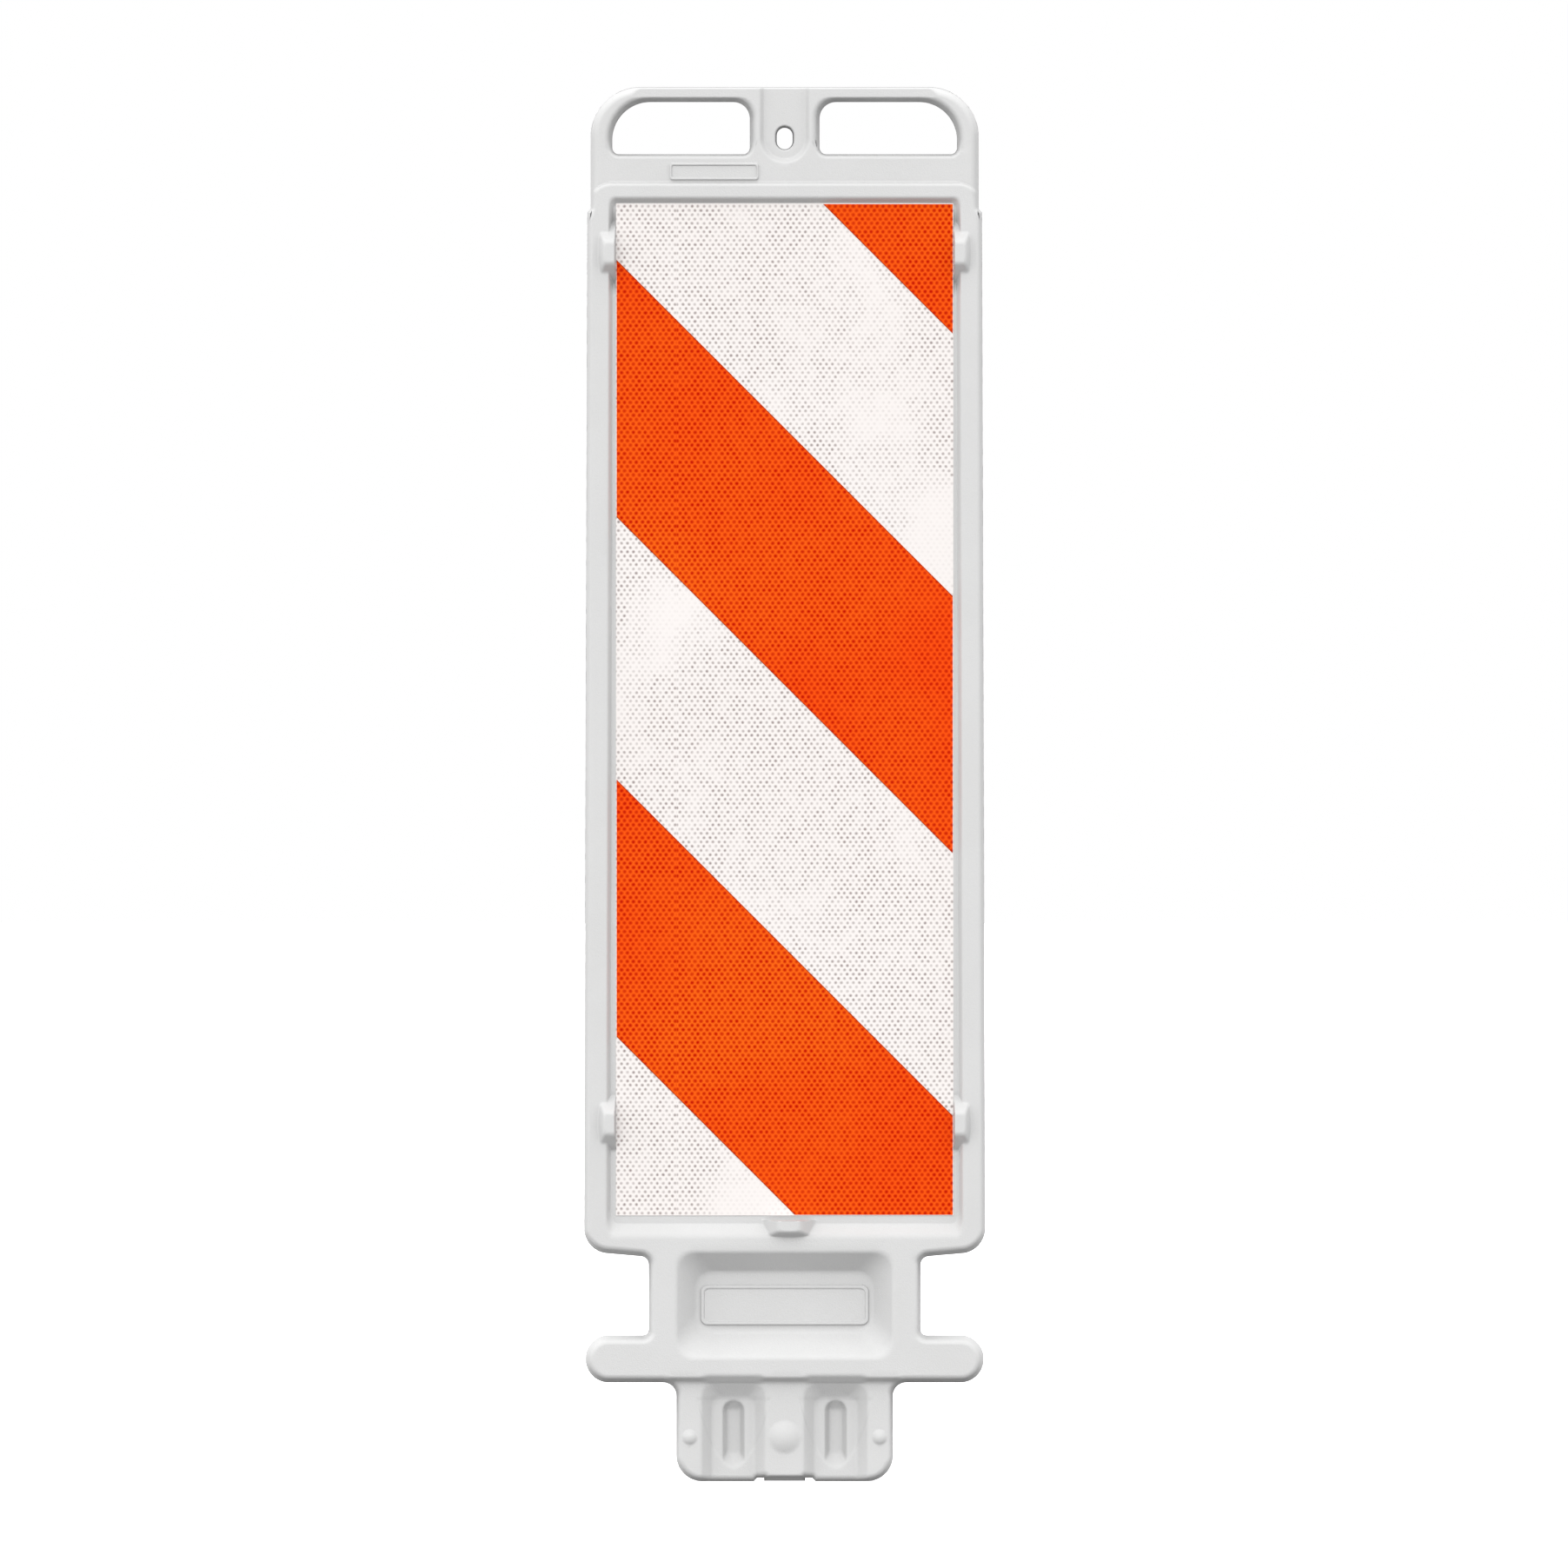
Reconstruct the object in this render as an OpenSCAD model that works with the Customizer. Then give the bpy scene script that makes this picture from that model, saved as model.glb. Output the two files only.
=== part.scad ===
// Plug-in vertical panel barricade: one hollow blow-moulded panel with striped sheeting on both faces.
// X is the width, the front faces -Y, and Z is up from the underside of the tongue.

/* [Sheeting] */
// Width of a reflective sheet
sheet_w = 203.2; // [176:0.1:260]
// Height of a reflective sheet
sheet_h = 609.6; // [500:0.1:760]
// Thickness of the white sheet
sheet_t = 0.5; // [0.2:0.1:1]
// Thickness of the orange overlay film
film_t = 0.2; // [0.1:0.05:0.4]
// Space between the film's ends and the sheet's edges
film_inset = 0.4; // [0:0.1:1]
// Height of one orange stripe, along the side of the sheet
stripe_h = 155; // [120:1:190]
// Height from one orange stripe to the next
stripe_pitch = 313; // [240:1:380]
// Height of the middle stripe's lower end over the sheet's bottom edge, at the left side
stripe_start = 421; // [340:1:500]

/* [Frame] */
// Thickness over the front and rear rims
frame_t = 38; // [32:0.5:48]
// Wall of the hollow moulding
wall = 3; // [2:0.1:3.6]
// Depth of the recess that holds a sheet
recess_d = 4; // [2:0.1:4.5]
// Space between a sheet and the recess floor's side edges
sheet_side_gap = 2.5; // [0.5:0.1:4]
// Space between a sheet and the recess floor's top edge
sheet_top_gap = 0.5; // [0.3:0.1:3]
// Space between a sheet and the recess floor's bottom edge
sheet_bottom_gap = 5; // [3:0.1:8]
// Run of the recess's sloped sides
slope_side = 2.5; // [1:0.1:4]
// Run of the recess's sloped top
slope_top = 4; // [1:0.1:6]
// Run of the recess's sloped bottom
slope_bottom = 7; // [3:0.1:9]
// Flat rim above the recess
rim_top = 8; // [6:0.1:14]
// Flat rim below the recess, at the frame's sides
rim_bottom = 9.9; // [8:0.1:16]
// Fall of the frame's bottom edge from its sides to the neck
frame_fall = 3.4; // [0:0.1:6]
// Flat rim beside the recess, at the top
rim_side_top = 12.4; // [10:0.1:18]
// Flat rim beside the recess, at the bottom
rim_side_bottom = 14.4; // [12:0.1:20]
// Radius of the frame's corners
frame_r = 15; // [8:0.5:20]

/* [Head] */
// Thickness of the head
head_t = 33; // [28:0.5:38]
// Height of the head over the frame
head_h = 58; // [52:0.5:75]
// Step in from the frame's side to the head's side
head_step = 2; // [1:0.1:4]
// Radius of the head's top corners
head_r = 30; // [15:0.5:36]
// Height of a hand hole
hand_hole_h = 31.5; // [26:0.5:36]
// Height of the head over a hand hole
hand_hole_top = 9; // [7.5:0.5:14]
// Space between a hand hole and the head's side
hand_hole_side = 13; // [10:0.5:20]
// Space between the two hand holes
hand_hole_web = 42; // [38:0.5:60]
// Radius of a hand hole's outer top corner
hand_hole_outer_r = 23; // [10:0.5:24]
// Radius of a hand hole's inner top corner
hand_hole_inner_r = 10; // [5:0.5:15]
// Radius of a hand hole's bottom corners
hand_hole_low_r = 4; // [2:0.5:6]

/* [Warning light slot] */
// Width of the slot for a warning light's bolt
light_slot_w = 9.6; // [6:0.1:14]
// Height of the slot for a warning light's bolt
light_slot_h = 13; // [12:0.1:20]
// Depth of the slot's centre below the top of the head
light_slot_drop = 31; // [28:0.5:36]
// Width of the shallow pocket around the slot
light_pocket_w = 30; // [24:0.5:32]
// Depth of the shallow pocket around the slot
light_pocket_d = 2.5; // [1:0.1:4]

/* [Stacking lugs] */
// Height of a lug over the rim
lug_h = 5.5; // [3:0.1:6]
// Length of a lug's flat crest
lug_crest = 13; // [8:0.5:20]
// Reach of a lug over the rim, from the recess floor's edge
lug_reach = 7.5; // [5:0.1:9]
// Height of the upper side lugs below the recess floor's top edge
lug_top_drop = 31; // [25:0.5:80]
// Height of the lower side lugs over the recess floor's bottom edge
lug_bottom_rise = 60.5; // [40:0.5:120]
// Place of the bottom lug beside the centre line
lug_bottom_x = 2.6; // [-10:0.1:10]
// Space between a lug and the sheet's edge
lug_sheet_gap = 1; // [0.8:0.1:2]
// Space around a lug in the socket behind it
lug_clearance = 0.6; // [0.3:0.1:0.7]

/* [Neck] */
// Width of the neck
neck_w = 164; // [140:1:180]
// Height of the neck, between the crossbar and the frame
neck_h = 47.2; // [40:0.1:65]
// Radius between the neck and the frame
neck_top_r = 5; // [2:0.5:8]
// Radius between the neck and the crossbar
neck_low_r = 3.5; // [2:0.5:8]
// Space between the neck's side and its pocket
neck_pocket_side = 16.7; // [12:0.1:24]
// Reach of the neck's pocket into the crossbar
neck_pocket_low = 13; // [8:0.5:15]
// Reach of the neck's pocket into the frame
neck_pocket_high = 3.5; // [0.5:0.1:5]
// Depth of the neck's pocket
neck_pocket_d = 11; // [8:0.5:12]
// Run of the pocket's sloped sides and top
neck_pocket_run = 11.7; // [5:0.1:14]
// Run of the pocket's sloped bottom
neck_pocket_run_low = 14.8; // [5:0.1:16]
// Space between the blank plate and the sides of the front pocket's floor
plate_side_gap = 2.7; // [1:0.1:10]
// Space between the blank plate and the bottom of the front pocket's floor
plate_low_gap = 4.3; // [1:0.1:8]
// Space between the blank plate and the top of the front pocket's floor
plate_high_gap = 8.3; // [1:0.1:12]
// Thickness of the blank plate over the pocket's floor
plate_t = 1; // [0.4:0.1:2]
// Radius of the blank plate's corners
plate_r = 4; // [1:0.5:5]

/* [Crossbar] */
// Width of the crossbar
crossbar_w = 240; // [200:1:280]
// Height of the crossbar
crossbar_h = 28.5; // [24:0.5:40]

/* [Tongue] */
// Width of the tongue
tongue_w = 130.6; // [110:0.1:156]
// Height of the tongue, below the crossbar
tongue_h = 59.5; // [50:0.5:80]
// Thickness of the tongue
tongue_t = 28; // [26:0.5:34]
// Radius of the tongue's bottom corners
tongue_r = 15.5; // [8:0.5:20]
// Radius between the tongue and the crossbar
tongue_fillet = 8; // [4:0.5:10]
// Space between the tongue's side and a stiffening pocket
tongue_pocket_side = 15.5; // [12:0.5:18]
// Width of the web between the stiffening pockets
tongue_web = 23.6; // [22:0.1:30]
// Depth of a stiffening pocket
tongue_pocket_d = 6; // [3:0.5:7]
// Run of a stiffening pocket's sloped walls
tongue_pocket_slope = 4.3; // [2:0.1:6]
// Width of the groove in a stiffening pocket
groove_w = 14; // [8:0.5:18]
// Depth of the groove below the pocket's floor
groove_d = 2.5; // [1:0.1:3]
// Height of the groove's lower end over the tongue's underside
groove_low = 13; // [8:0.5:20]
// Depth of the groove's arched top below the crossbar
groove_drop = 10; // [8:0.5:16]
// Diameter of the middle snap dome
dome_d = 19; // [12:0.5:21]
// Height of the middle snap dome
dome_h = 3; // [1.5:0.1:4]
// Diameter of the side snap domes
side_dome_d = 9.2; // [6:0.1:11]
// Height of the side snap domes
side_dome_h = 2; // [1:0.1:3]
// Space between the tongue's side and a side dome's centre
side_dome_side = 7.8; // [7:0.1:9]
// Height of the snap domes over the tongue's underside
dome_rise = 26.8; // [18:0.1:36]
// Width of the pinched tab at the blow hole
tab_w = 25; // [16:0.5:30]
// Height of the notches beside the pinched tab
tab_notch_h = 2.1; // [1:0.1:2.5]
// Width of the level part of a notch beside the tab
tab_notch_w = 4; // [2:0.5:6]
// Diameter of the blow hole
blow_hole_d = 8; // [5:0.5:12]

/* [Hidden] */
$fn = 48;

moulding_white = [0.90, 0.90, 0.89];
sheeting_white = [0.97, 0.98, 0.96];
film_orange = [1.00, 0.38, 0.04];

// Overshoot of a cut beyond the face that it opens
cut_over = 1;
// Steps of a rounded corner's arc
arc_steps = 6;

// Heights, from the underside of the tongue up
crossbar_bottom = tongue_h;
crossbar_top = crossbar_bottom + crossbar_h;
neck_top = crossbar_top + neck_h;
frame_bottom = neck_top + frame_fall;
floor_bottom = frame_bottom + rim_bottom + slope_bottom;
sheet_bottom = floor_bottom + sheet_bottom_gap;
sheet_top = sheet_bottom + sheet_h;
floor_top = sheet_top + sheet_top_gap;
frame_top = floor_top + slope_top + rim_top;
head_top = frame_top + head_h;

// Half widths
floor_half = sheet_w / 2 + sheet_side_gap;
mouth_half = floor_half + slope_side;
frame_top_half = mouth_half + rim_side_top;
frame_bottom_half = mouth_half + rim_side_bottom;
head_half = frame_top_half - head_step;
neck_half = neck_w / 2;
crossbar_half = crossbar_w / 2;
// The crossbar's ends are round over all but a sliver of its height
crossbar_r = crossbar_h * 0.49;
tongue_half = tongue_w / 2;

// How far the head and the tongue run into what carries them
head_root = 20;
tongue_root = 12;

hand_hole_inner = hand_hole_web / 2;
hand_hole_outer = head_half - hand_hole_side;
hand_hole_high = head_top - hand_hole_top;
hand_hole_low = hand_hole_high - hand_hole_h;
light_slot_z = head_top - light_slot_drop;

recess_y = frame_t / 2 - recess_d;
neck_pocket_half = neck_half - neck_pocket_side;
neck_pocket_z0 = crossbar_top - neck_pocket_low;
neck_pocket_z1 = neck_top + neck_pocket_high;
neck_floor_y = frame_t / 2 - neck_pocket_d;
plate_half = neck_pocket_half - neck_pocket_run - plate_side_gap;
plate_z0 = neck_pocket_z0 + neck_pocket_run_low + plate_low_gap;
plate_z1 = neck_pocket_z1 - neck_pocket_run - plate_high_gap;

tongue_pocket_w = tongue_half - tongue_pocket_side - tongue_web / 2;
tongue_pocket_x = tongue_web / 2 + tongue_pocket_w / 2;
groove_top = crossbar_bottom - groove_drop;

lug_tip_y = frame_t / 2 + lug_h;
lug_base_half = lug_crest / 2 + lug_h + recess_d;
lug_inner = sheet_w / 2 + lug_sheet_gap;
lug_outer = floor_half + lug_reach;

function unit(v) = v / norm(v);

// Arc that rounds the corner c = [x, z, radius] between its neighbours p and q
function corner_arc(p, c, q) =
    let (
        at = [c[0], c[1]],
        u = unit([p[0], p[1]] - at),
        v = unit([q[0], q[1]] - at),
        half = acos(u * v) / 2,
        centre = at + unit(u + v) * c[2] / sin(half),
        from = at + u * c[2] / tan(half) - centre,
        to = at + v * c[2] / tan(half) - centre,
        start = atan2(from[1], from[0]),
        turn = atan2(from[0] * to[1] - from[1] * to[0], from * to)
    )
    [
        for (k = [0 : arc_steps])
            let (angle = start + turn * k / arc_steps)
            centre + c[2] * [cos(angle), sin(angle)]
    ];

// Outline through corners [x, z, radius], with every corner that has a radius rounded
function rounded(corners) = [
    for (i = [0 : len(corners) - 1])
        let (
            n = len(corners),
            c = corners[i]
        )
        each c[2] > 0 ? corner_arc(corners[(i + n - 1) % n], c, corners[(i + 1) % n]) : [[c[0], c[1]]]
];

// Outline that is the same on both sides, from its right-hand corners listed top to bottom
function both_sides(right) = concat(
    right,
    [for (i = [len(right) - 1 : -1 : 0]) [-right[i][0], right[i][1], right[i][2]]]
);

// Extrudes an outline drawn in X and Z to a thickness, centred on Y = 0
module slab(t) {
    rotate([90, 0, 0])
        linear_extrude(t, center = true)
            children();
}

// Extrudes an outline drawn in X and Z from y0 forward to y1, both measured toward the front
module front_slab(y0, y1) {
    rotate([90, 0, 0])
        translate([0, 0, y0])
            linear_extrude(y1 - y0)
                children();
}

module both_faces() {
    children();
    rotate([0, 0, 180])
        children();
}

module left_and_right() {
    children();
    mirror([1, 0, 0])
        children();
}

// Outer form of the moulding, grown by g on every side
module outer_form(g) {
    slab(frame_t + 2 * g)
        polygon(rounded(both_sides([
            [frame_top_half + g, frame_top + g, frame_r + g],
            [frame_bottom_half + g, frame_bottom - g, frame_r + g],
            [neck_half + g, neck_top - g, neck_top_r - g],
            [neck_half + g, crossbar_top + g, neck_low_r - g],
            [crossbar_half + g, crossbar_top + g, crossbar_r + g],
            [crossbar_half + g, crossbar_bottom - g, crossbar_r + g]
        ])));
    slab(head_t + 2 * g)
        polygon(rounded(both_sides([
            [head_half + g, head_top + g, head_r + g],
            [head_half + g, frame_top - head_root, 0]
        ])));
    slab(tongue_t + 2 * g)
        polygon(rounded(both_sides([
            [tongue_half + tongue_fillet * 2, crossbar_bottom + tongue_root, 0],
            [tongue_half + tongue_fillet * 2, crossbar_bottom - g, 0],
            [tongue_half + g, crossbar_bottom - g, tongue_fillet - g],
            [tongue_half + g, -g, tongue_r + g]
        ])));
}

// Pocket in the front face at y = -face, with a mouth of half width x from z0 to z1, and walls that
// slope in by run_x at the sides, run_low at the bottom and run_high at the top
module sloped_pocket(x, z0, z1, face, depth, run_x, run_low, run_high) {
    floor_y = depth - face;
    mouth_y = -face - cut_over;
    intersection() {
        translate([0, 0, z0])
            linear_extrude(z1 - z0)
                polygon([
                    [-x, mouth_y], [x, mouth_y], [x, -face],
                    [x - run_x, floor_y], [run_x - x, floor_y], [-x, -face]
                ]);
        rotate([90, 0, 90])
            linear_extrude(2 * x, center = true)
                polygon([
                    [mouth_y, z0], [mouth_y, z1], [-face, z1],
                    [floor_y, z1 - run_high], [floor_y, z0 + run_low], [-face, z0]
                ]);
    }
}

// Recess for a sheet, grown by g
module sheet_recess(g) {
    sloped_pocket(
        mouth_half + g, floor_bottom - slope_bottom - g, floor_top + slope_top + g,
        frame_t / 2, recess_d + g, slope_side, slope_bottom, slope_top
    );
}

// Pocket in the neck, grown by g
module neck_pocket(g) {
    sloped_pocket(
        neck_pocket_half + g, neck_pocket_z0 - g, neck_pocket_z1 + g,
        frame_t / 2, neck_pocket_d + g, neck_pocket_run, neck_pocket_run_low, neck_pocket_run
    );
}

// Stiffening pockets of the tongue, open at its underside, grown by g
module tongue_pockets(g) {
    left_and_right() {
        translate([tongue_pocket_x, 0, 0])
            sloped_pocket(
                tongue_pocket_w / 2 + g, -cut_over, crossbar_bottom + g,
                tongue_t / 2, tongue_pocket_d + g, tongue_pocket_slope, 0, tongue_pocket_slope
            );
        translate([tongue_pocket_x, 0, 0])
            front_slab(tongue_t / 2 - tongue_pocket_d - groove_d - g, tongue_t / 2)
                union() {
                    translate([0, groove_top - groove_w / 2])
                        circle(d = groove_w + 2 * g);
                    translate([-groove_w / 2 - g, groove_low - g])
                        square([groove_w + 2 * g, groove_top - groove_w / 2 - groove_low + g]);
                }
    }
}

// Hand holes through the head, grown by g
module hand_holes(g) {
    left_and_right()
        slab(head_t + 2 * cut_over)
            polygon(rounded([
                [hand_hole_outer + g, hand_hole_high + g, hand_hole_outer_r + g],
                [hand_hole_outer + g, hand_hole_low - g, hand_hole_low_r + g],
                [hand_hole_inner - g, hand_hole_low - g, hand_hole_low_r + g],
                [hand_hole_inner - g, hand_hole_high + g, hand_hole_inner_r + g]
            ]));
}

// Slot through the head for a warning light's bolt, grown by g
module light_slot(g) {
    straight = (light_slot_h - light_slot_w) / 2;
    translate([0, 0, light_slot_z])
        slab(head_t + 2 * cut_over) {
            for (side = [-1, 1])
                translate([0, side * straight])
                    circle(d = light_slot_w + 2 * g);
            square([light_slot_w + 2 * g, 2 * straight], center = true);
        }
}

// Shallow pocket around the slot, open at the top of the head, grown by g
module light_pocket(g) {
    translate([0, 0, light_slot_z])
        front_slab(head_t / 2 - light_pocket_d - g, head_t / 2 + cut_over) {
            circle(d = light_pocket_w + 2 * g);
            translate([-light_pocket_w / 2 - g, 0])
                square([light_pocket_w + 2 * g, light_slot_drop + cut_over]);
        }
}

// One lug on the right-hand rim at z = 0, grown by g: its ends slope in at 45 degrees to its crest
module lug(g) {
    rotate([90, 0, 90])
        translate([0, 0, lug_inner - g])
            linear_extrude(lug_outer - lug_inner + 2 * g)
                polygon([
                    [-recess_y, lug_base_half + g], [-lug_tip_y - g, lug_crest / 2 + g],
                    [-lug_tip_y - g, -lug_crest / 2 - g], [-recess_y, -lug_base_half - g]
                ]);
}

// The five lugs of the front face, grown by g
module lugs(g) {
    left_and_right()
        for (z = [floor_top - lug_top_drop, floor_bottom + lug_bottom_rise])
            translate([0, 0, z])
                lug(g);
    translate([lug_bottom_x, 0, floor_bottom + floor_half])
        rotate([0, 90, 0])
            lug(g);
}

// Sockets in the rear face that take the lugs of the next panel in a stack
module lug_sockets(g) {
    translate([0, frame_t, 0])
        lugs(lug_clearance + g);
}

// Snap dome of diameter d and height h on the tongue's front face, at x and the domes' height
module snap_dome(x, d, h) {
    ball_r = (d * d / 4 + h * h) / (2 * h);
    intersection() {
        translate([x, ball_r - h - tongue_t / 2, dome_rise])
            sphere(ball_r);
        translate([x, (wall - tongue_t) / 2, dome_rise])
            rotate([90, 0, 0])
                cylinder(d = d + cut_over, h = wall / 2 + h + cut_over);
    }
}

module snap_domes() {
    snap_dome(0, dome_d, dome_h);
    for (side = [-1, 1])
        snap_dome(side * (tongue_half - side_dome_side), side_dome_d, side_dome_h);
}

// Blank plate standing on the floor of the front neck pocket
module blank_plate() {
    front_slab(neck_floor_y - wall / 2, neck_floor_y + plate_t)
        polygon(rounded(both_sides([[plate_half, plate_z1, plate_r], [plate_half, plate_z0, plate_r]])));
}

// Air space inside the moulding, one wall inside every outer face
module cavity() {
    difference() {
        outer_form(-wall);
        both_faces() {
            sheet_recess(wall);
            neck_pocket(wall);
            tongue_pockets(wall);
            light_pocket(wall);
        }
        hand_holes(wall);
        light_slot(wall);
        lug_sockets(wall);
    }
}

// Notches beside the pinched tab and the blow hole in it
module tab_cuts() {
    notch_inner = tab_w / 2;
    notch_outer = notch_inner + tab_notch_w;
    left_and_right()
        slab(tongue_t + 2 * cut_over)
            polygon([
                [notch_inner, -cut_over], [notch_inner, tab_notch_h], [notch_outer, tab_notch_h],
                [notch_outer + tab_notch_h, 0], [notch_outer + tab_notch_h, -cut_over]
            ]);
    translate([0, 0, -cut_over])
        cylinder(d = blow_hole_d, h = wall + 2 * cut_over);
}

// Hollow moulding: head, frame, neck, crossbar and tongue in one piece
module panel_body() {
    color(moulding_white) {
        difference() {
            outer_form(0);
            cavity();
            both_faces() {
                sheet_recess(0);
                neck_pocket(0);
                tongue_pockets(0);
                light_pocket(0);
            }
            hand_holes(0);
            light_slot(0);
            lug_sockets(0);
            tab_cuts();
        }
        lugs(0);
        both_faces()
            snap_domes();
        blank_plate();
    }
}

// White sheet on the floor of the front recess
module sheeting() {
    color(sheeting_white)
        front_slab(recess_y, recess_y + sheet_t)
            translate([-sheet_w / 2, sheet_bottom])
                square([sheet_w, sheet_h]);
}

// Orange stripe on the front sheet, running down to the right: row 0 is the middle one, 1 is above it
module stripe(row) {
    low = sheet_bottom + stripe_start + row * stripe_pitch;
    color(film_orange)
        front_slab(recess_y + sheet_t, recess_y + sheet_t + film_t)
            intersection() {
                translate([film_inset - sheet_w / 2, sheet_bottom + film_inset])
                    square([sheet_w - 2 * film_inset, sheet_h - 2 * film_inset]);
                polygon([
                    [-sheet_w / 2, low], [-sheet_w / 2, low + stripe_h],
                    [sheet_w / 2, low + stripe_h - sheet_w], [sheet_w / 2, low - sheet_w]
                ]);
            }
}

// Turns a piece of the front face to the rear face
module rear() {
    rotate([0, 0, 180])
        children();
}

panel_body();
sheeting();  // front_sheeting
stripe(1);  // front_stripe_top
stripe(0);  // front_stripe_middle
stripe(-1);  // front_stripe_bottom
rear() sheeting();  // rear_sheeting
rear() stripe(1);  // rear_stripe_top
rear() stripe(0);  // rear_stripe_middle
rear() stripe(-1);  // rear_stripe_bottom
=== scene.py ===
import math

import bpy
import numpy as np
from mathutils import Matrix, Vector
from mathutils.geometry import delaunay_2d_cdt


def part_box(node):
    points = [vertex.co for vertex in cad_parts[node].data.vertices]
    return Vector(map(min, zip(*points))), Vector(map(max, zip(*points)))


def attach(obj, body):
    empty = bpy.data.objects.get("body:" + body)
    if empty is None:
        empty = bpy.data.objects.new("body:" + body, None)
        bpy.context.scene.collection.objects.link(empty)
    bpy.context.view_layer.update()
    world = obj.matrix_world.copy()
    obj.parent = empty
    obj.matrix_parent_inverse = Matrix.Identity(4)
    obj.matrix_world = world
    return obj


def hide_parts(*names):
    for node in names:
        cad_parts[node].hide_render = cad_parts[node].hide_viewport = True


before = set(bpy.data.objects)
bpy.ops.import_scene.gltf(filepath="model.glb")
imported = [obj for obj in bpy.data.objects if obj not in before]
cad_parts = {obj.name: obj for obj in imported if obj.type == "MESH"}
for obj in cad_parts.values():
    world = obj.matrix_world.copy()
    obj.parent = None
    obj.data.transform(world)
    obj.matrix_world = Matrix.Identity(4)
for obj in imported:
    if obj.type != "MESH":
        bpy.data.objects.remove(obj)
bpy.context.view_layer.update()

MM = 0.001


def node_box(name):
    """Lowest and highest corner of a CAD node, in millimetres."""
    low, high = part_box(name)
    return [v / MM for v in low], [v / MM for v in high]


SHEET_LOW, SHEET_HIGH = node_box("front_sheeting")
PANEL_HIGH = node_box("panel_body")[1]

# Outer form
HEAD_TOP = PANEL_HIGH[2]
FRAME_T = 2 * PANEL_HIGH[1]
HEAD_T = FRAME_T - 5
TONGUE_T = FRAME_T - 10
FRAME_LOW_HALF = PANEL_HIGH[0]
FRAME_HIGH_HALF = FRAME_LOW_HALF - 2
HEAD_HALF = FRAME_HIGH_HALF - 2
HEAD_R = 30
FRAME_TOP = HEAD_TOP - 58
FRAME_R = 15
SHOULDER_Z = FRAME_TOP - 15.4
SHOULDER_RUN = 2.2
SHOULDER_R = 1
FRAME_BOTTOM = 138.6
NECK_HALF = 82
NECK_TOP = 135.2
NECK_TOP_R = 5
NECK_LOW_R = 3.5
CROSSBAR_HALF = 120
CROSSBAR_TOP = 88
CROSSBAR_BOTTOM = 59.5
CROSSBAR_R = 14
TONGUE_HALF = 65.3
TONGUE_R = 15.5
TONGUE_TOP_R = 8
TAB_HALF = 12.4
TAB_T = 6
TAB_TOP = 2.1
TAB_BOTTOM = 0.3
TAB_R = 0.2
NOTCH_HALF = 18.6
NOTCH_R = 0.4

# Edges of the moulding: the draft of the walls from the parting line, and the radius at the face.
# Crisp edges have less of both, and some edges are crisp in part. PARTING_W and PARTING_H are the
# width and height of the small bevel at the parting line. RING_GAP and ARC_RINGS place the rings
# that sample a wall and its rounded edge.
DRAFT = 0.12
CRISP_DRAFT = 0.03
EDGE_R = 3.4
CRISP_EDGE_R = 1.2
SILL_CRISP = 0.6
SIDE_CRISP = 0.5
PARTING_W = 0.25
PARTING_H = 0.35
RING_GAP = 0.15
ARC_RINGS = 7

# Stretches where edges are crisp: the half length of each, and the distance over which it ends
CRISP_SLOT = (9, 3)
CRISP_TOP = (5, 3)
CRISP_SILL = (4, 2)

# Banks of the relief: the radius at the crest, the radius at the foot, and the draft
FRAME_BANK = (2.2, 0.7, DRAFT)
STEEP_BANK = (2.2, 3.0, 0.6)
SLOPING_BANK = (3.5, 1.5, 1.0)
TAB_BANK = (1.5, 0.3, 0.1)
RECESS_BANK = (0.6, 3.6, 1.0)
NECK_BANK = (4.0, 4.0, 1.0)
POCKET_BANK = (3.5, 3.0, 1.0)
GROOVE_BANK = (2.8, 2.2, 0.75)
LIGHT_BANK = (1.5, 2.2, 1.0)
PLATE_BANK = (0.3, 0.3, 0.5)
PLATE_INNER_BANK = (0.2, 0.3, 0.5)

# Recess for the sheeting
RECESS_D = 4
FLOOR_TOP = SHEET_HIGH[2] + 0.3
FLOOR_BOTTOM = SHEET_LOW[2] - 5
FLOOR_HALF = SHEET_HIGH[0] + 2.5
SLOPE_SIDE = 2.5
SLOPE_TOP = 3.2
SLOPE_BOTTOM = 7
RECESS_TAPER = 1.6

# Head
HAND_HOLE_INNER = 21
HAND_HOLE_OUTER = HEAD_HALF - 13
HAND_HOLE_HIGH = HEAD_TOP - 9
HAND_HOLE_LOW = HAND_HOLE_HIGH - 31.5
HAND_HOLE_OUTER_R = 23
HAND_HOLE_INNER_R = 10
HAND_HOLE_LOW_R = 4
LIGHT_SLOT_Z = HEAD_TOP - 31
LIGHT_SLOT_R = 4.8
LIGHT_SLOT_STRAIGHT = 1.7
LIGHT_POCKET_R = 15
LIGHT_POCKET_D = 2.5

# Lugs on the front face and their sockets in the rear face
LUG_H = 5.5
LUG_CREST_HALF = 6.5
LUG_INNER = SHEET_HIGH[0] + 0.2
LUG_OUTER = FLOOR_HALF + 7.5
LUG_HIGH_Z = FLOOR_TOP - 30
LUG_LOW_Z = FLOOR_BOTTOM + 60.5
LUG_BOTTOM_X = 2.6
LUG_CLEARANCE = 0.6
LUG_BOW = 1.2
LUG_OUTER_RUN = 3.8
LUG_OUTER_STEEP = 1.7
LUG_INNER_RUN = 0.6
LUG_INNER_STEEP = 12
LUG_CREST_R = 1.6

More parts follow.
